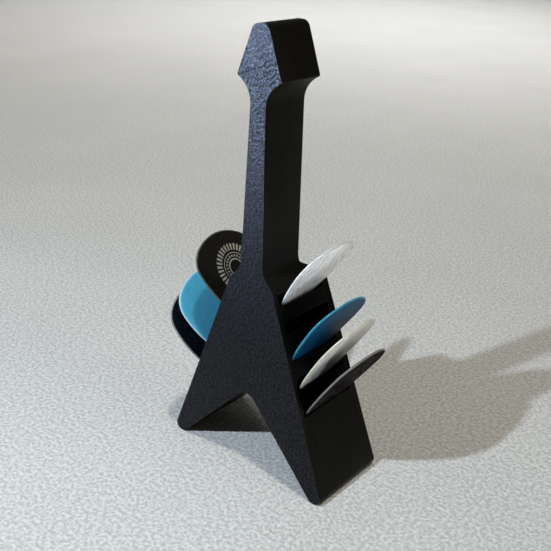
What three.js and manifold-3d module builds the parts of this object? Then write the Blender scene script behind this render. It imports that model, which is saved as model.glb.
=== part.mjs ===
// A desktop pick holder shaped like a V guitar that stands on the two tips of its wings, with seven
// guitar picks in its slots. Millimetres, +Z up. The front faces -Y, and +X is to the right seen from
// the front. The origin is on the floor, under the middle of the whole object.
import * as THREE from "three";
import { mergeVertices } from "three/addons/utils/BufferGeometryUtils.js";
import Module from "manifold-3d";

const wasm = await Module();
wasm.setup();

const degrees = THREE.MathUtils.degToRad;

// ---- holder: front outline ----
const height = 128.6;
const headTopHalf = 2.3; // half width of the headstock's top, before its corners are rounded
const headTopRound = 2.3;
const headWideHalf = 7.2;
const headWideZ = 115.5;
const headWideRound = 0.6;
const neckTopHalf = 2.4;
const neckTopZ = 112.4; // where the slope under the headstock meets the line of the neck
const neckTopFillet = 7;
const neckFootHalf = 3.85;
const neckFootZ = 64;
const neckFootFillet = 5;
const shoulderHalf = 7.5;
const shoulderZ = 60;
const shoulderRound = 0.8;
const wingTipHalf = 29.3; // where the outer edge of a wing would reach the floor
const wingTipRound = 2.0;
const wingInnerHalf = 25.1; // where the inner edge of a wing would reach the floor
const wingInnerRound = 1.2;
const crotchZ = 27.1; // where the two inner edges would cross
const crotchRound = 4.3;

// ---- holder: side outline ----
const frontY = -13;
const baseBackY = 14.7; // back of the body at the floor
const backLean = 0.07; // how far the back comes forward for each millimetre up
const neckDepth = 15.5;
const bodyTopZ = 59.0; // height of the step behind the neck

// ---- slots ----
const slotCount = 5;
const topSlotZ = 57.3; // height of the middle of the top slot's mouth
const slotPitch = 7.6;
const slotAngle = degrees(64); // above horizontal
const slotThickness = 2.5;
const slotDepth = 9.5; // from the outer face, along the slot
const frontWall = 1.9;
const backWall = 2.6;
const cutterOverrun = 6;

// ---- picks ----
const pickLength = 30.5;
const pickWidth = 26;
const pickCrownRadius = 17; // the wide end
const pickCornerRadius = 7;
const pickSideRadius = 30;
const pickTipRadius = 2.6;
const pickThickness = 0.8;
const pickEdgeChamfer = 0.22;
const tipGap = 0.3; // between a pick's tip and the floor of its slot

// side is +1 for the wing at +X. slot counts from the top. size is a factor on the pick's outline, shift
// is how far its middle sits towards the front (-) or the back (+) of the slot's. The angles, in degrees:
// lean is the pick's above horizontal, swing turns its tip towards the front, and twist turns its back edge
// towards the slot's upper wall.
const picks = [
  { name: "pick_pearl", color: 0xe9e6e2, side: 1, slot: 1, size: 0.96, shift: 0.6, lean: 58, swing: 6, twist: 2 },
  { name: "pick_blue_right", color: 0x1c5d8f, side: 1, slot: 3, size: 0.99, shift: -0.3, lean: 59, swing: 9 },
  { name: "pick_ivory", color: 0xe6e0c8, side: 1, slot: 4, size: 1.05, shift: -0.2, lean: 59, swing: 7, twist: 2.6 },
  { name: "pick_smoke", color: 0x1b191c, side: 1, slot: 5, size: 1.06, shift: 0.9, lean: 57.4, swing: 15 },
  { name: "pick_ring_print", color: 0x17161a, side: -1, slot: 2, size: 0.95, shift: -1.2, lean: 55.5, swing: -3 },
  { name: "pick_blue_left", color: 0x3f93c0, side: -1, slot: 4, size: 1.0, shift: -1.4, lean: 54.8, swing: -5.5 },
  { name: "pick_black", color: 0x141519, side: -1, slot: 5, size: 1.05, shift: -1.1, lean: 54.5, swing: -1 },
];

// ---- shared tools ----

function solidFrom(geometry) {
  const bare = geometry.clone();
  bare.deleteAttribute("normal");
  bare.deleteAttribute("uv");
  const merged = mergeVertices(bare, 1e-4);
  return new wasm.Manifold(
    new wasm.Mesh({
      numProp: 3,
      vertProperties: new Float32Array(merged.attributes.position.array),
      triVerts: new Uint32Array(merged.index.array),
    }),
  );
}

function geometryFrom(solid) {
  const mesh = solid.getMesh();
  const geometry = new THREE.BufferGeometry();
  geometry.setAttribute("position", new THREE.BufferAttribute(new Float32Array(mesh.vertProperties), 3));
  geometry.setIndex(new THREE.BufferAttribute(new Uint32Array(mesh.triVerts), 1));
  geometry.computeVertexNormals();
  return geometry;
}

// A closed outline from corners [x, y, radius], with each corner rounded by an arc.
function roundedOutline(corners, stepAngle = degrees(9)) {
  const points = [];
  corners.forEach(([x, y, radius], i) => {
    const here = new THREE.Vector2(x, y);
    const before = new THREE.Vector2(...corners.at(i - 1)).sub(here).normalize();
    const after = new THREE.Vector2(...corners[(i + 1) % corners.length]).sub(here).normalize();
    if (!radius) {
      points.push(here);
      return;
    }
    const half = Math.acos(THREE.MathUtils.clamp(before.dot(after), -1, 1)) / 2;
    const middle = before.clone().add(after).normalize();
    const centre = here.clone().addScaledVector(middle, radius / Math.sin(half));
    const tangent = radius / Math.tan(half);
    const start = here.clone().addScaledVector(before, tangent).sub(centre);
    const end = here.clone().addScaledVector(after, tangent).sub(centre);
    const turn = Math.atan2(start.cross(end), start.dot(end));
    const steps = Math.max(2, Math.ceil(Math.abs(turn) / stepAngle));
    for (let k = 0; k <= steps; k++) {
      points.push(start.clone().rotateAround(new THREE.Vector2(), (turn * k) / steps).add(centre));
    }
  });
  return points;
}

function extrude(points, depth) {
  return new THREE.ExtrudeGeometry(new THREE.Shape(points), { depth, bevelEnabled: false });
}

// ---- holder ----

function frontOutline() {
  const right = [
    [headTopHalf, height, headTopRound],
    [headWideHalf, headWideZ, headWideRound],
    [neckTopHalf, neckTopZ, neckTopFillet],
    [neckFootHalf, neckFootZ, neckFootFillet],
    [shoulderHalf, shoulderZ, shoulderRound],
    [wingTipHalf, 0, wingTipRound],
    [wingInnerHalf, 0, wingInnerRound],
  ];
  const left = right.map(([x, z, radius]) => [-x, z, radius]).reverse();
  return roundedOutline([...right, [0, crotchZ, crotchRound], ...left]);
}

function backYAt(z) {
  return baseBackY - backLean * z;
}

function sideOutline() {
  const neckBackY = frontY + neckDepth;
  return roundedOutline([
    [frontY, 0, 0],
    [baseBackY, 0, 0],
    [backYAt(bodyTopZ), bodyTopZ, 0],
    [neckBackY, bodyTopZ, 0],
    [neckBackY, height, 0],
    [frontY, height, 0],
  ]);
}

// The front outline pushed through from front to back, and the side outline from left to right: what
// they share is the holder without its slots.
function holderBlank() {
  const front = extrude(frontOutline(), baseBackY - frontY);
  front.rotateX(Math.PI / 2);
  front.translate(0, baseBackY, 0);
  const side = extrude(sideOutline(), 2 * wingTipHalf);
  side.rotateX(Math.PI / 2);
  side.rotateZ(Math.PI / 2);
  side.translate(-wingTipHalf, 0, 0);
  return solidFrom(front).intersect(solidFrom(side));
}

function outerX(z) {
  return wingTipHalf + ((shoulderHalf - wingTipHalf) * z) / shoulderZ;
}

function slotZ(slot) {
  return topSlotZ - (slot - 1) * slotPitch;
}

function slotCutter(side, slot) {
  const z = slotZ(slot);
  const length = slotDepth + cutterOverrun;
  const slotFrontY = frontY + frontWall;
  const slotBackY = backYAt(z) - backWall;
  const box = new THREE.BoxGeometry(length, slotBackY - slotFrontY, slotThickness);
  box.translate(length / 2 - slotDepth, (slotFrontY + slotBackY) / 2, 0);
  box.rotateY(-slotAngle);
  box.translate(outerX(z), 0, z);
  if (side < 0) {
    box.rotateZ(Math.PI);
    box.translate(0, slotFrontY + slotBackY, 0);
  }
  return solidFrom(box);
}

function holderBody() {
  let solid = holderBlank();
  for (const side of [1, -1]) {
    for (let slot = 1; slot <= slotCount; slot++) {
      solid = solid.subtract(slotCutter(side, slot));
    }
  }
  const material = new THREE.MeshStandardMaterial({ color: 0x1b1d21, roughness: 0.62, metalness: 0 });
  const mesh = new THREE.Mesh(geometryFrom(solid), material);
  mesh.name = "holder_body";
  return mesh;
}

// ---- picks ----

// Where the side arc's centre lies: it touches the corner arc and the tip arc from outside.
function sideCentre(corner, tip) {
  const span = tip.distanceTo(corner);
  const toTip = pickSideRadius - pickTipRadius;
  const toCorner = pickSideRadius - pickCornerRadius;
  const along = (toTip ** 2 - toCorner ** 2 + span ** 2) / (2 * span);
  const direction = corner.clone().sub(tip).normalize();
  const aside = new THREE.Vector2(-direction.y, direction.x);
  const offset = Math.sqrt(toTip ** 2 - along ** 2);
  return tip.clone().addScaledVector(direction, along).addScaledVector(aside, offset);
}

// Half of a pick's outline, from the top of its wide end at (0, 0) down to the tip at (0, -pickLength),
// as four arcs that run smoothly into each other.
function halfPick() {
  const crown = new THREE.Vector2(0, -pickCrownRadius);
  const sine = (pickWidth / 2 - pickCornerRadius) / (pickCrownRadius - pickCornerRadius);
  const crownAngle = Math.acos(sine);
  const corner = new THREE.Vector2(Math.cos(crownAngle), Math.sin(crownAngle));
  corner.multiplyScalar(pickCrownRadius - pickCornerRadius).add(crown);
  const tip = new THREE.Vector2(0, pickTipRadius - pickLength);
  const flank = sideCentre(corner, tip);
  const cornerAngle = directionOf(flank, corner);
  const tipAngle = directionOf(flank, tip);
  const arcs = [
    [crown, pickCrownRadius, Math.PI / 2, crownAngle, 8],
    [corner, pickCornerRadius, crownAngle, cornerAngle, 8],
    [flank, pickSideRadius, cornerAngle, tipAngle, 7],
    [tip, pickTipRadius, tipAngle, -Math.PI / 2, 5],
  ];
  const points = [];
  arcs.forEach(([centre, radius, from, to, steps], i) => {
    for (let k = i ? 1 : 0; k <= steps; k++) {
      const angle = from + ((to - from) * k) / steps;
      points.push(new THREE.Vector2(Math.cos(angle), Math.sin(angle)).multiplyScalar(radius).add(centre));
    }
  });
  return points;
}

function directionOf(from, to) {
  return Math.atan2(to.y - from.y, to.x - from.x);
}

// The whole outline, about the middle of its wide end, with the wide end towards +Y.
function pickOutline(size) {
  const half = halfPick();
  const other = half.slice(1, -1).reverse().map((p) => new THREE.Vector2(-p.x, p.y));
  const shrink = size - pickEdgeChamfer / (pickWidth / 2);
  return [...half, ...other].map((p) => new THREE.Vector2(p.x, p.y + pickWidth / 2).multiplyScalar(shrink));
}

// A plate whose two rims are chamfered.
function pickGeometry(size) {
  const shape = new THREE.Shape(pickOutline(size));
  const geometry = new THREE.ExtrudeGeometry(shape, {
    depth: pickThickness - 2 * pickEdgeChamfer,
    bevelEnabled: true,
    bevelSegments: 1,
    bevelSize: pickEdgeChamfer,
    bevelThickness: pickEdgeChamfer,
  });
  geometry.translate(0, 0, pickEdgeChamfer - pickThickness / 2);
  return geometry;
}

// A pick lies flat in its own X-Y plane with its tip along -Y. The swing turns it about the middle of its
// wide end. Then it is stood up in its slot, leaning about a point halfway down the slot.
function pickMesh({ name, color, side, slot, size, shift, lean, swing, twist = 0 }) {
  const material = new THREE.MeshStandardMaterial({ color, roughness: 0.35, metalness: 0 });
  const mesh = new THREE.Mesh(pickGeometry(size), material);
  mesh.name = name;
  const tipReach = (pickLength - pickWidth / 2) * size * Math.cos(degrees(swing));
  mesh.rotation.set(0, degrees(twist * side), degrees(-swing * side));
  mesh.position.y = tipReach + tipGap - slotDepth / 2;
  const z = slotZ(slot);
  const slotMiddleY = (frontY + frontWall + backYAt(z) - backWall) / 2;
  const stood = new THREE.Group();
  stood.add(mesh);
  stood.position.set(
    side * (outerX(z) - (slotDepth / 2) * Math.cos(slotAngle)),
    slotMiddleY + shift,
    z - (slotDepth / 2) * Math.sin(slotAngle),
  );
  const across = new THREE.Vector3(0, side, 0);
  const outward = new THREE.Vector3(side * Math.cos(degrees(lean)), 0, Math.sin(degrees(lean)));
  const normal = new THREE.Vector3().crossVectors(across, outward);
  stood.quaternion.setFromRotationMatrix(new THREE.Matrix4().makeBasis(across, outward, normal));
  return stood;
}

const holder = new THREE.Group();
holder.add(holderBody());
for (const pick of picks) {
  holder.add(pickMesh(pick));
}

export default holder;
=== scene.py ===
"""Looks for a pick holder shaped like a V guitar, with seven guitar picks in its slots.

Metres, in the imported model's frame: +Z up, the front faces -Y, the floor is z = 0.
"""

import math

import bmesh
import bpy
import numpy as np
from mathutils import Matrix, Vector


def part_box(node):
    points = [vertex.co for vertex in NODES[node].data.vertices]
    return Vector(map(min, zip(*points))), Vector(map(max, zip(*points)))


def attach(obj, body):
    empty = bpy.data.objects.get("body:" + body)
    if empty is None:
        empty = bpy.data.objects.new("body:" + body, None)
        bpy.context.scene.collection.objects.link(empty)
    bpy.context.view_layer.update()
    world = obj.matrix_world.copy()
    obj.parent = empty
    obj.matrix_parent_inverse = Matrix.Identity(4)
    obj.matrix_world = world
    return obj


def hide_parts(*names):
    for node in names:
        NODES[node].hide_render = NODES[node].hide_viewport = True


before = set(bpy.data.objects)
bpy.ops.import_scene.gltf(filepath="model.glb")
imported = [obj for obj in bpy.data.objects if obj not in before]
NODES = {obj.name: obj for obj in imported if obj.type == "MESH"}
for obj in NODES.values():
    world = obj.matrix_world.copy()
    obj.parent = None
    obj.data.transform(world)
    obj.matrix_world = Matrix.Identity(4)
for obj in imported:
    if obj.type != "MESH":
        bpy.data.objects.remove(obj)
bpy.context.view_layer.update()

MM = 0.001
HOLDER_LOW, HOLDER_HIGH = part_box("holder_body")

# ---- camera: angles in degrees, as azimuth from the front towards +X ----
CAMERA_AZIMUTH = 38.61
CAMERA_ELEVATION = 24.57
CAMERA_ROLL = 3.04
CAMERA_DISTANCE = 240.5 * MM
CAMERA_SIDESTEP = -1.5 * MM
CAMERA_AIM_Z = 58.3 * MM
CAMERA_LENS = 55.5
SENSOR_WIDTH = 36.0

# ---- world ----
WORLD_COLOUR = (1.0, 0.95, 0.86)
WORLD_STRENGTH = 0.055

# ---- floor, in metres ----
FLOOR_HALF = 4.0
FLOOR_CELLS = 8

# ---- holder ----
WELD = 0.002 * MM
FLAT_ANGLE = 0.5  # degrees; faces that meet at less than this become one
EDGE_ANGLE = 25  # degrees; edges sharper than this are rounded
EDGE_ROUND = 0.28 * MM
EDGE_SEGMENTS = 3
LAYER = 0.2 * MM
BACK_LINE = 0.6 * MM
# The kinds of surface, which are also their materials' places in the mesh.
FRONT, WALL, BACK, SLOT = range(4)
FACING = 0.9  # a face with this much of its normal along an axis faces that way
FRONT_SKIN = 0.5 * MM
# A face belongs to a slot if its middle lies this far under the wing's outer wall, between these heights.
SLOT_SKIN = 0.3 * MM
SLOT_REACH = 8 * MM
SLOT_LOW_Z = 16 * MM
SLOT_HIGH_Z = 58 * MM
# Faces across Y nearer to the front or the back than this aren't counted as a slot's. The back leans
# forward, so its margin also leaves out the back walls of the three lower slots.
FRONT_MARGIN = 1 * MM
BACK_MARGIN = 6 * MM

# ---- picks ----
OUTLINE_STEPS = 4  # pieces into which each side of a pick's outline is split
OUTLINE_SHRINK = 0.998  # keeps the smoothed outlines inside the CAD model's box
# The rim's section, from the flat face out to the middle of the rim: how far in from the edge, in
# millimetres, and the height as a share of half the thickness.
RIM_PROFILE = [(1.5, 1.0), (1.0, 0.985), (0.62, 0.92), (0.33, 0.78), (0.13, 0.53), (0.03, 0.27), (0.0, 0.0)]
RIM_STARTS = 3  # the place in RIM_PROFILE from which outwards the rim has its own material
FACE_RINGS = (0.8, 0.55, 0.3)  # the flat face's rings, as shares of the rim's innermost one
SIDE_WALL = 0.49  # share of the thickness: the CAD plate's side wall ends below it, its faces lie above


def direction(azimuth, elevation):
    """Unit vector from the object towards a camera or light at that azimuth and elevation."""
    a, e = math.radians(azimuth), math.radians(elevation)
    return Vector((math.sin(a) * math.cos(e), -math.cos(a) * math.cos(e), math.sin(e)))


# ---- camera, lights and world ----


def make_camera():
    """The camera and its roll, aimed at a point beside the holder's axis."""
    back = direction(CAMERA_AZIMUTH, CAMERA_ELEVATION)
    right = (-back).cross(Vector((0, 0, 1))).normalized()
    up = back.cross(right)
    target = right * CAMERA_SIDESTEP + Vector((0, 0, CAMERA_AIM_Z))
    roll = math.radians(CAMERA_ROLL)
    rolled_right = right * math.cos(roll) + up * math.sin(roll)
    rolled_up = up * math.cos(roll) - right * math.sin(roll)
    data = bpy.data.cameras.new("camera")
    data.sensor_width = SENSOR_WIDTH
    data.lens = CAMERA_LENS
    data.clip_start = 0.01
    data.clip_end = 20
    camera = bpy.data.objects.new("camera", data)
    bpy.context.scene.collection.objects.link(camera)
    turn = Matrix((rolled_right, rolled_up, back)).transposed().to_4x4()
    camera.matrix_world = Matrix.Translation(target + back * CAMERA_DISTANCE) @ turn
    bpy.context.scene.camera = camera


def make_area_light(name, place, aim, size, watts, colour, spread=180):
    """A round light at place that looks at aim. spread is its beam's angle in degrees."""
    data = bpy.data.lights.new(name, "AREA")
    data.shape = "DISK"
    data.size = size
    data.energy = watts
    data.color = colour
    data.spread = math.radians(spread)
    light = bpy.data.objects.new(name, data)
    bpy.context.scene.collection.objects.link(light)
    light.location = place
    light.visible_camera = False
    light.rotation_euler = (place - aim).to_track_quat("Z", "Y").to_euler()


def make_lights():
    """A near key light for wide shadows, a high warm light, a fill from the right, a sheen on the
    headstock and a light over the far floor. Each has its place, aim, size, watts, colour and beam."""
    middle = Vector((0, 0, 50 * MM))
    head = Vector((0, 0, 155 * MM))
    far_floor = Vector((-0.5, 0.85, 0))
    make_area_light("key", middle + 0.39 * direction(-14, 38), middle, 0.012, 1.15, (0.8, 0.9, 1.0))
    make_area_light("overhead", middle + 3 * direction(51, 79), middle, 0.2, 25, (1.0, 0.93, 0.8))
    make_area_light("side_fill", middle + direction(97, 8), middle, 0.5, 2.4, (1.0, 0.95, 0.82))
    make_area_light("head_sheen", head + 0.8 * direction(-40, 4), head, 0.06, 0.55, (0.6, 0.76, 1.0), 13)
    make_area_light("far", far_floor + Vector((0, 0, 1.2)), far_floor, 0.8, 2.9, (1.0, 0.99, 0.98), 74)


def make_world():
    """A faint, even light from all around."""
    world = bpy.data.worlds.new("studio")
    bpy.context.scene.world = world
    world.use_nodes = True
    background = world.node_tree.nodes["Background"]
    background.inputs["Color"].default_value = (*WORLD_COLOUR, 1)
    background.inputs["Strength"].default_value = WORLD_STRENGTH
    bpy.context.scene.view_settings.view_transform = "Standard"


# ---- material tools ----


class Nodes:
    """A new material's node tree with its Principled shader, and short ways to add to it."""

    def __init__(self, name, roughness, **shader_values):
        self.material = bpy.data.materials.new(name)
        self.material.use_nodes = True
        self.tree = self.material.node_tree
        self.shader = self.tree.nodes["Principled BSDF"]
        self.shader.inputs["Roughness"].default_value = roughness
        for socket, value in shader_values.items():
            self.shader.inputs[socket.replace("_", " ")].default_value = value
        self.place = self.add("ShaderNodeTexCoord").outputs["Object"]

    def add(self, kind, inputs=None, **settings):
        """A new node. Its inputs are values or the sockets of other nodes."""
        node = self.tree.nodes.new(kind)
        for name, value in settings.items():
            setattr(node, name, value)
        for socket, value in (inputs or {}).items():
            if isinstance(value, bpy.types.NodeSocket):
                self.tree.links.new(value, node.inputs[socket])
            else:
                node.inputs[socket].default_value = value
        return node

    def math(self, operation, a, b=0.0, c=0.0, clamp=False):
        node = self.add("ShaderNodeMath", {0: a, 1: b, 2: c}, operation=operation, use_clamp=clamp)
        return node.outputs[0]

    def stretched(self, scale, vector=None):
        """The coordinates, scaled by a factor for each axis."""
        return self.add("ShaderNodeMapping", {"Vector": vector or self.place, "Scale": scale}).outputs[0]

    def noise(self, scale, detail=2.0, roughness=0.5, distortion=0.0, vector=None):
        inputs = {
            "Vector": vector or self.place,
            "Scale": scale,
            "Detail": detail,
            "Roughness": roughness,
            "Distortion": distortion,
        }
        return self.add("ShaderNodeTexNoise", inputs).outputs[0]

    def ramp(self, factor, stops):
        """The colour at that factor between the stops, each a position and a colour."""
        node = self.add("ShaderNodeValToRGB", {0: factor})
        elements = node.color_ramp.elements
        while len(elements) < len(stops):
            elements.new(0.5)
        for element, (position, colour) in zip(elements, stops):
            element.position = position
            element.color = (*colour, 1)
        return node.outputs[0]

    def mix(self, factor, a, b):
        """Colour a, going over to colour b as factor goes from 0 to 1."""
        node = self.add("ShaderNodeMix", data_type="RGBA")
        for socket, value in ((node.inputs[0], factor), (node.inputs[6], a), (node.inputs[7], b)):
            if isinstance(value, bpy.types.NodeSocket):
                self.tree.links.new(value, socket)
            else:
                socket.default_value = value if isinstance(value, float) else (*value, 1)
        return node.outputs[2]

    def colour(self, value):
        self.tree.links.new(value, self.shader.inputs["Base Color"])

    def roughness(self, value):
        self.tree.links.new(value, self.shader.inputs["Roughness"])

    def bump(self, height, distance, strength=1.0):
        node = self.add("ShaderNodeBump", {"Height": height, "Distance": distance, "Strength": strength})
        self.tree.links.new(node.outputs[0], self.shader.inputs["Normal"])


# ---- floor ----


def floor_material():
    """Pale and matt, with a fine speckle."""
    n = Nodes("floor_pale", 0.85)
    speckle = n.noise(900, 3, 0.65)
    cloud = n.noise(14, 2)
    tone = n.math("ADD", n.math("MULTIPLY", speckle, 0.93), n.math("MULTIPLY", cloud, 0.07))
    n.colour(n.ramp(tone, [(0.4, (0.6, 0.61, 0.61)), (0.6, (0.92, 0.93, 0.93))]))
    n.bump(speckle, 0.5 * MM, 0.8)
    return n.material


def make_floor():
    """A wide flat floor at z = 0."""
    mesh = bpy.data.meshes.new("floor")
    bm = bmesh.new()
    bmesh.ops.create_grid(bm, x_segments=FLOOR_CELLS, y_segments=FLOOR_CELLS, size=FLOOR_HALF)
    bm.to_mesh(mesh)
    bm.free()
    mesh.materials.append(floor_material())
    floor = bpy.data.objects.new("floor", mesh)
    bpy.context.scene.collection.objects.link(floor)


# ---- holder ----


def print_bed_material():
    """The face that lay on a textured print bed: pebbled grain with small glints."""
    n = Nodes("holder_front_grain", 0.5, Specular_IOR_Level=0.17)
    lump = n.noise(1300, 1, 0.5)
    fine = n.noise(3400, 2, 0.6)
    grain = n.math("MULTIPLY_ADD", fine, 0.3, lump)
    n.colour(n.ramp(lump, [(0.47, (0.0002, 0.0003, 0.0008)), (0.53, (0.0115, 0.0125, 0.021))]))
    n.roughness(n.math("MULTIPLY_ADD", fine, 0.25, 0.36))
    n.bump(grain, 0.8 * MM, 1.0)
    return n.material


def layer_line_material():
    """The walls of the print: smooth, with faint lines where the layers, stacked along Y, end."""
    n = Nodes("holder_side_layers", 0.45, Specular_IOR_Level=0.05)
    y = n.add("ShaderNodeSeparateXYZ", {0: n.place}).outputs[1]
    wave = n.math("SINE", n.math("MULTIPLY", y, 2 * math.pi / LAYER))
    streaks = n.noise(1.0, 3, 0.6, vector=n.stretched((25, 2600, 25)))
    blotch = n.noise(160, 2)
    relief = n.math("MULTIPLY_ADD", wave, 0.25, streaks)
    n.colour(n.ramp(streaks, [(0.3, (0.005, 0.0047, 0.0036)), (0.75, (0.011, 0.0104, 0.008))]))
    n.roughness(n.math("MULTIPLY_ADD", blotch, 0.2, 0.35))
    n.bump(relief, 0.03 * MM, 0.55)
    return n.material


def top_layer_material():
    """The back, printed last: diagonal lines of the closing layer."""
    n = Nodes("holder_back_lines", 0.45, Specular_IOR_Level=0.45)
    parts = n.add("ShaderNodeSeparateXYZ", {0: n.place})
    along = n.math("ADD", parts.outputs[0], parts.outputs[2])
    wave = n.math("SINE", n.math("MULTIPLY", along, 2 * math.pi / BACK_LINE))
    wander = n.noise(400, 2)
    n.colour(n.ramp(wander, [(0.3, (0.009, 0.009, 0.0085)), (0.7, (0.015, 0.015, 0.0145))]))
    n.bump(n.math("MULTIPLY_ADD", wander, 0.8, wave), 0.03 * MM, 0.7)
    return n.material


def slot_painted_shade_material():
    """Inside the slots, where the print is rough: coloured darker than the walls, as painted shade of the
    recesses.
    """
    n = Nodes("holder_slot_walls_painted_shade", 0.7, Specular_IOR_Level=0.05)
    rough = n.noise(2500, 2)
    # painted shade: the slots' insides are coloured darker than the walls
    n.colour(n.ramp(rough, [(0.3, (0.0015, 0.0015, 0.0013)), (0.7, (0.004, 0.004, 0.0035))]))
    n.bump(rough, 0.05 * MM, 0.5)
    return n.material


def edge_material():
    """The rounded edges, which the nozzle leaves glossier than the walls; their lighter colour is partly
    painted highlight of edge glints, partly wear.
    """
    n = Nodes("holder_edges", 0.3, Specular_IOR_Level=0.5)
    wear_and_glint = n.noise(500, 3)
    # painted highlight: the edges are coloured lighter than the walls to draw glint lines, with random wear
    # in the tone
    n.colour(n.ramp(wear_and_glint, [(0.3, (0.015, 0.015, 0.015)), (0.7, (0.05, 0.05, 0.048))]))
    n.roughness(n.math("MULTIPLY_ADD", wear_and_glint, 0.3, 0.2))
    return n.material


def on_front_or_back(face, middle):
    """Whether the face lies across Y within the margins of the front or the back."""
    inside = HOLDER_LOW[1] + FRONT_MARGIN < middle.y < HOLDER_HIGH[1] - BACK_MARGIN
    return abs(face.normal.y) > FACING and not inside


def surface_kind(face, wing_wall):
    """The kind of the face's surface. wing_wall is the outer wall of the wing at +X."""
    middle = face.calc_center_median()
    mirrored = Vector((abs(middle.x), middle.y, middle.z))
    depth = wing_wall.normal.dot(wing_wall.verts[0].co - mirrored)
    if face.normal.y < -FACING and middle.y < HOLDER_LOW[1] + FRONT_SKIN:
        return FRONT
    beside_slots = SLOT_SKIN < depth < SLOT_REACH and SLOT_LOW_Z < middle.z < SLOT_HIGH_Z
    if beside_slots and not on_front_or_back(face, middle):
        return SLOT
    return BACK if face.normal.y > FACING else WALL


def find_wing_wall(faces):
    """The outer wall of the wing at +X: the largest face that leans as it does."""
    leaning = [f for f in faces if 0.9 < f.normal.x < 0.97 and f.normal.z > 0.2]
    return max(leaning, key=lambda f: f.calc_area())


def make_holder():
    """The CAD holder with its flat faces made whole and its edges rounded as a nozzle leaves them."""
    bm = bmesh.new()
    bm.from_mesh(NODES["holder_body"].data)
    bmesh.ops.remove_doubles(bm, verts=bm.verts, dist=WELD)
    bmesh.ops.dissolve_limit(bm, angle_limit=math.radians(FLAT_ANGLE), verts=bm.verts, edges=bm.edges)
    bm.normal_update()
    wing_wall = find_wing_wall(bm.faces)
    for face in bm.faces:
        face.smooth = True
        face.material_index = surface_kind(face, wing_wall)
    mesh = bpy.data.meshes.new("holder")
    bm.to_mesh(mesh)
    bm.free()
    # In the order of FRONT, WALL, BACK and SLOT (dark as painted shade), and then the rounded edges'
    # (lighter, partly painted highlight).
    mesh.materials.append(print_bed_material())
    mesh.materials.append(layer_line_material())
    mesh.materials.append(top_layer_material())
    mesh.materials.append(slot_painted_shade_material())
    mesh.materials.append(edge_material())
    holder = bpy.data.objects.new("holder", mesh)
    bpy.context.scene.collection.objects.link(holder)
    bevel = holder.modifiers.new("edges", "BEVEL")
    bevel.width = EDGE_ROUND
    bevel.segments = EDGE_SEGMENTS
    bevel.limit_method = "ANGLE"
    bevel.angle_limit = math.radians(EDGE_ANGLE)
    bevel.harden_normals = True
    # the rounded edges get the lighter edge material, partly a painted highlight
    bevel.material = len(mesh.materials) - 1
    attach(holder, "holder")
    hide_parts("holder_body")


# ---- picks ----


def pick_frame(node):
    """A pick's middle and its axes (across, along towards the wide end, normal), from its CAD plate."""
    points = np.unique(np.round([v.co for v in NODES[node].data.vertices], 7), axis=0)
    middle = (points.min(0) + points.max(0)) / 2
    # The plate's axes, from the one along which it spreads least to the one along which it spreads most.
    axes = np.linalg.eigh(np.cov((points - points.mean(0)).T))[1]
    normal, across, along = axes.T
    along = along * np.sign(along[2])
    normal = normal * np.sign(normal[2])
    across = np.cross(along, normal)
    local = (points - middle) @ np.array([across, along, normal]).T
    centre = middle + np.array([across, along, normal]).T @ ((local.min(0) + local.max(0)) / 2)
    return centre, across, along, normal


def pick_outline(node, centre, across, along, normal):
    """The plate's outline in its own plane, smoothed, and the plate's thickness."""
    points = np.array([v.co for v in NODES[node].data.vertices])
    local = (points - centre) @ np.array([across, along, normal]).T
    thickness = np.ptp(local[:, 2])
    edge = local[(local[:, 2] > 0) & (local[:, 2] < SIDE_WALL * thickness)][:, :2]
    edge = np.unique(np.round(edge, 7), axis=0)
    edge = edge[np.argsort(np.arctan2(edge[:, 1], edge[:, 0]))]
    ahead = np.roll(edge, -1, 0) - edge
    length = np.linalg.norm(ahead, axis=1, keepdims=True)
    heading = ahead / length
    before = np.roll(length, 1, 0)
    # The curve's direction at each point: nearer to the shorter of the two sides that meet there.
    course = (np.roll(heading, 1, 0) * length + heading * before) / (before + length)
    steps = []
    for t in np.arange(OUTLINE_STEPS) / OUTLINE_STEPS:
        start = edge * (2 * t**3 - 3 * t**2 + 1) + course * length * (t**3 - 2 * t**2 + t)
        end = np.roll(edge, -1, 0) * (3 * t**2 - 2 * t**3) + np.roll(course, -1, 0) * length * (t**3 - t**2)
        steps.append(start + end)
    smooth = np.stack(steps, 1).reshape(-1, 2)
    return smooth * OUTLINE_SHRINK, thickness


def inset(outline, amount):
    """The outline moved inwards by that amount."""
    tangent = np.roll(outline, -1, 0) - np.roll(outline, 1, 0)
    tangent /= np.linalg.norm(tangent, axis=1, keepdims=True)
    inward = np.stack([-tangent[:, 1], tangent[:, 0]], 1)
    return outline + inward * amount


def pick_rings(outline, thickness):
    """Rings from the middle of one face, round the rim, to the middle of the other: points and height."""
    half = thickness / 2
    innermost = inset(outline, RIM_PROFILE[0][0] * MM)
    rings = [(innermost * share, half) for share in reversed(FACE_RINGS)]
    rings += [(inset(outline, depth * MM), half * rise) for depth, rise in RIM_PROFILE]
    rings += [(inset(outline, depth * MM), -half * rise) for depth, rise in reversed(RIM_PROFILE[:-1])]
    rings += [(innermost * share, -half) for share in FACE_RINGS]
    return rings


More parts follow.
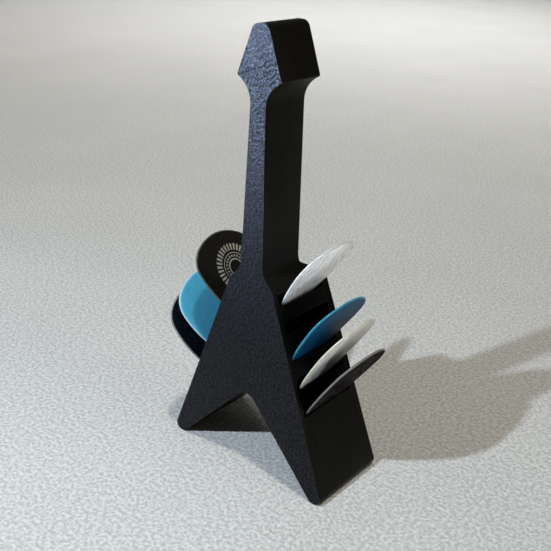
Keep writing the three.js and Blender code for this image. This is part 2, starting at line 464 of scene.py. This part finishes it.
def plate_mesh(name, rings, centre, across, along, normal):
    """A closed mesh through the rings. Its UVs are its own plane's millimetres."""
    bm = bmesh.new()
    uv_layer = bm.loops.layers.uv.new("plane_mm")
    flat = {}
    loops = []
    for ring, height in rings:
        loop = []
        for x, y in ring:
            vert = bm.verts.new(centre + across * x + along * y + normal * height)
            flat[vert] = (x / MM, y / MM)
            loop.append(vert)
        loops.append(loop)
    bands = len(loops) - 1
    count = len(loops[0])
    before_rim = len(FACE_RINGS) + RIM_STARTS
    for k in range(bands):
        for i in range(count):
            j = (i + 1) % count
            face = bm.faces.new((loops[k][i], loops[k + 1][i], loops[k + 1][j], loops[k][j]))
            face.material_index = 1 if before_rim <= k < bands - before_rim else 0
    bm.faces.new(loops[0])
    bm.faces.new(list(reversed(loops[-1])))
    for face in bm.faces:
        face.smooth = True
        for corner in face.loops:
            corner[uv_layer].uv = flat[corner.vert]
    bmesh.ops.recalc_face_normals(bm, faces=bm.faces)
    mesh = bpy.data.meshes.new(name)
    bm.to_mesh(mesh)
    bm.free()
    return mesh


def make_pick(name, body, face_material, rim_material):
    """A polished plate with a rounded rim, in the place of the CAD plate of the same name."""
    node = "pick_" + name
    centre, across, along, normal = pick_frame(node)
    outline, thickness = pick_outline(node, centre, across, along, normal)
    mesh = plate_mesh("visual_" + name, pick_rings(outline, thickness), centre, across, along, normal)
    mesh.materials.append(face_material)
    mesh.materials.append(rim_material)
    pick = bpy.data.objects.new("visual_" + name, mesh)
    bpy.context.scene.collection.objects.link(pick)
    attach(pick, body)
    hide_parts(node)


# ---- pick materials ----

# Thin pale plastic lets light through to its shaded side.
GLOW = {"Subsurface_Weight": 1.0, "Subsurface_Scale": 3.5 * MM, "Subsurface_Radius": (1.0, 0.95, 0.85)}


def plane_mm(n):
    """The pick's own flat coordinates, in millimetres."""
    return n.add("ShaderNodeUVMap", uv_map="plane_mm").outputs[0]


def polish_marks(n, strength=0.12):
    """Fine handling scratches and a slow waviness, and a roughness that varies with the scratches."""
    plane = plane_mm(n)
    wave = n.noise(0.12, 1, vector=plane)
    scratch = n.noise(1.0, 2, 0.7, vector=n.stretched((0.8, 14, 1), plane))
    n.bump(n.math("MULTIPLY_ADD", scratch, 0.05, wave), 0.25 * MM, strength)
    n.roughness(n.math("MULTIPLY_ADD", scratch, 0.14, n.shader.inputs["Roughness"].default_value - 0.05))


def plain_rim(name, colour, roughness=0.3):
    """One colour, in places a little darker. On the dark picks this colour is lighter than the face: a
    painted highlight on the rim.
    """
    n = Nodes(name, roughness)
    tone = n.noise(0.8, 2, vector=plane_mm(n))
    darker = tuple(0.82 * c for c in colour)
    n.colour(n.ramp(tone, [(0.3, darker), (0.7, colour)]))
    return n.material


def pearl_material():
    """White clouds with grey streaks across them."""
    n = Nodes("pearl_celluloid", 0.2, Coat_Weight=0.3, Coat_Roughness=0.08, **GLOW)
    plane = plane_mm(n)
    cloud = n.noise(0.22, 3, 0.6, 1.8, vector=n.stretched((0.45, 1.5, 1), plane))
    grey = n.noise(0.3, 4, 0.65, 2.5, vector=n.stretched((1.6, 0.35, 1), plane))
    body = n.ramp(cloud, [(0.3, (0.99, 0.98, 0.94)), (0.5, (0.97, 0.9, 0.88)), (0.66, (0.99, 0.99, 0.96))])
    streak = n.ramp(grey, [(0.5, (0.0, 0.0, 0.0)), (0.62, (0.85, 0.85, 0.85))])
    n.colour(n.mix(streak, body, (0.3, 0.3, 0.26)))
    polish_marks(n)
    return n.material


def blue_material():
    """Deep blue, with a slow change of tone."""
    n = Nodes("blue_celluloid", 0.38, Specular_IOR_Level=0.08)
    tone = n.noise(0.25, 2, vector=plane_mm(n))
    n.colour(n.ramp(tone, [(0.3, (0.002, 0.05, 0.14)), (0.7, (0.004, 0.09, 0.21))]))
    polish_marks(n)
    return n.material


def ivory_material():
    """Cream, with long faint bands."""
    n = Nodes("ivory_plastic", 0.3, **GLOW)
    tone = n.noise(0.3, 3, 0.6, vector=n.stretched((1, 0.4, 1), plane_mm(n)))
    n.colour(n.ramp(tone, [(0.3, (0.98, 0.94, 0.76)), (0.7, (1.0, 0.98, 0.86))]))
    polish_marks(n)
    return n.material


def smoke_material():
    """Nearly black, with grey blotches."""
    n = Nodes("smoke_celluloid", 0.4, Specular_IOR_Level=0.002)
    plane = plane_mm(n)
    cell = n.noise(0.35, 3, 0.6, 1.2, vector=plane)
    stops = [(0.4, (0.002, 0.002, 0.003)), (0.56, (0.022, 0.018, 0.018)), (0.7, (0.09, 0.08, 0.08))]
    n.colour(n.ramp(cell, stops))
    polish_marks(n)
    return n.material


def light_blue_material():
    """Satin light blue."""
    n = Nodes("light_blue_satin", 0.5)
    tone = n.noise(0.5, 3, 0.6, vector=plane_mm(n))
    n.colour(n.ramp(tone, [(0.3, (0.09, 0.58, 0.95)), (0.7, (0.13, 0.66, 0.99))]))
    polish_marks(n, 0.06)
    return n.material


def black_material():
    """Black, with specks of dust."""
    n = Nodes("black_celluloid", 0.25, Specular_IOR_Level=0.25)
    plane = plane_mm(n)
    dust = n.add("ShaderNodeTexVoronoi", {"Vector": plane, "Scale": 1.6}).outputs[0]
    speck = n.math("LESS_THAN", dust, 0.07)
    n.colour(n.mix(n.math("MULTIPLY", speck, 0.8), (0.006, 0.007, 0.012), (0.35, 0.4, 0.5)))
    polish_marks(n)
    return n.material


# The ring print, in millimetres: its middle, measured from the pick's, and the radii of its rings.
PRINT_MIDDLE = (1.6, 2.6)
TICK_RING = (5.3, 7.3)
TICK_COUNT = 34
TICK_SHARE = 0.55
THIN_RINGS = ((4.35, 4.6), (2.3, 2.75))
BEAD_RING = (3.2, 3.85)
BEAD_COUNT = 22


def between(n, value, low, high):
    """1 where the value lies between low and high, and 0 elsewhere."""
    return n.math("MULTIPLY", n.math("GREATER_THAN", value, low), n.math("LESS_THAN", value, high))


def ring_print_material():
    """Black with a worn, plain print of ticks, beads and thin circles, and specks of dust."""
    n = Nodes("black_ring_print", 0.16, Coat_Weight=0.5, Coat_Roughness=0.06)
    plane = plane_mm(n)
    parts = n.add("ShaderNodeSeparateXYZ", {0: plane})
    x = n.math("SUBTRACT", parts.outputs[0], PRINT_MIDDLE[0])
    y = n.math("SUBTRACT", parts.outputs[1], PRINT_MIDDLE[1])
    radius = n.math("SQRT", n.math("ADD", n.math("MULTIPLY", x, x), n.math("MULTIPLY", y, y)))
    turn = n.math("DIVIDE", n.math("ARCTAN2", y, x), 2 * math.pi)
    prints = [between(n, radius, low, high) for low, high in THIN_RINGS]
    for (low, high), count in ((TICK_RING, TICK_COUNT), (BEAD_RING, BEAD_COUNT)):
        comb = n.math("LESS_THAN", n.math("FRACT", n.math("MULTIPLY_ADD", turn, count, count)), TICK_SHARE)
        prints.append(n.math("MULTIPLY", comb, between(n, radius, low, high)))
    ink = prints[0]
    for other in prints[1:]:
        ink = n.math("MAXIMUM", ink, other)
    worn = n.math("MULTIPLY_ADD", n.noise(3.0, 3, 0.7, vector=plane), 2.6, -0.45, clamp=True)
    dust = n.add("ShaderNodeTexVoronoi", {"Vector": plane, "Scale": 0.9}).outputs[0]
    marks = n.math("MAXIMUM", n.math("MULTIPLY", ink, worn), n.math("LESS_THAN", dust, 0.05))
    n.colour(n.mix(marks, (0.012, 0.011, 0.009), (0.62, 0.6, 0.52)))
    polish_marks(n)
    return n.material


def make_picks():
    """The seven picks, each with its face's and its rim's material."""
    # painted highlight: the rims of the blue, smoke, ring print, light blue and black picks are coloured
    # lighter than their faces, for light caught in and through the edge
    rims = {
        "pearl": plain_rim("rim_pale", (0.8, 0.8, 0.78)),
        "blue_right": plain_rim("rim_blue_painted_highlight", (0.02, 0.3, 0.5)),
        "ivory": plain_rim("rim_ivory", (0.86, 0.83, 0.68)),
        "smoke": plain_rim("rim_smoke_painted_highlight", (0.22, 0.22, 0.22), 0.2),
        "ring_print": plain_rim("rim_grey_painted_highlight", (0.12, 0.12, 0.11), 0.2),
        "blue_left": plain_rim("rim_light_blue_painted_highlight", (0.45, 0.8, 0.95), 0.4),
        "black": plain_rim("rim_black_painted_highlight", (0.3, 0.31, 0.32), 0.2),
    }
    make_pick("pearl", "pearl_pick", pearl_material(), rims["pearl"])
    make_pick("blue_right", "right_blue_pick", blue_material(), rims["blue_right"])
    make_pick("ivory", "ivory_pick", ivory_material(), rims["ivory"])
    make_pick("smoke", "smoke_pick", smoke_material(), rims["smoke"])
    make_pick("ring_print", "ring_pick", ring_print_material(), rims["ring_print"])
    make_pick("blue_left", "left_blue_pick", light_blue_material(), rims["blue_left"])
    make_pick("black", "black_pick", black_material(), rims["black"])


make_camera()
make_lights()
make_world()
make_floor()
make_holder()
make_picks()
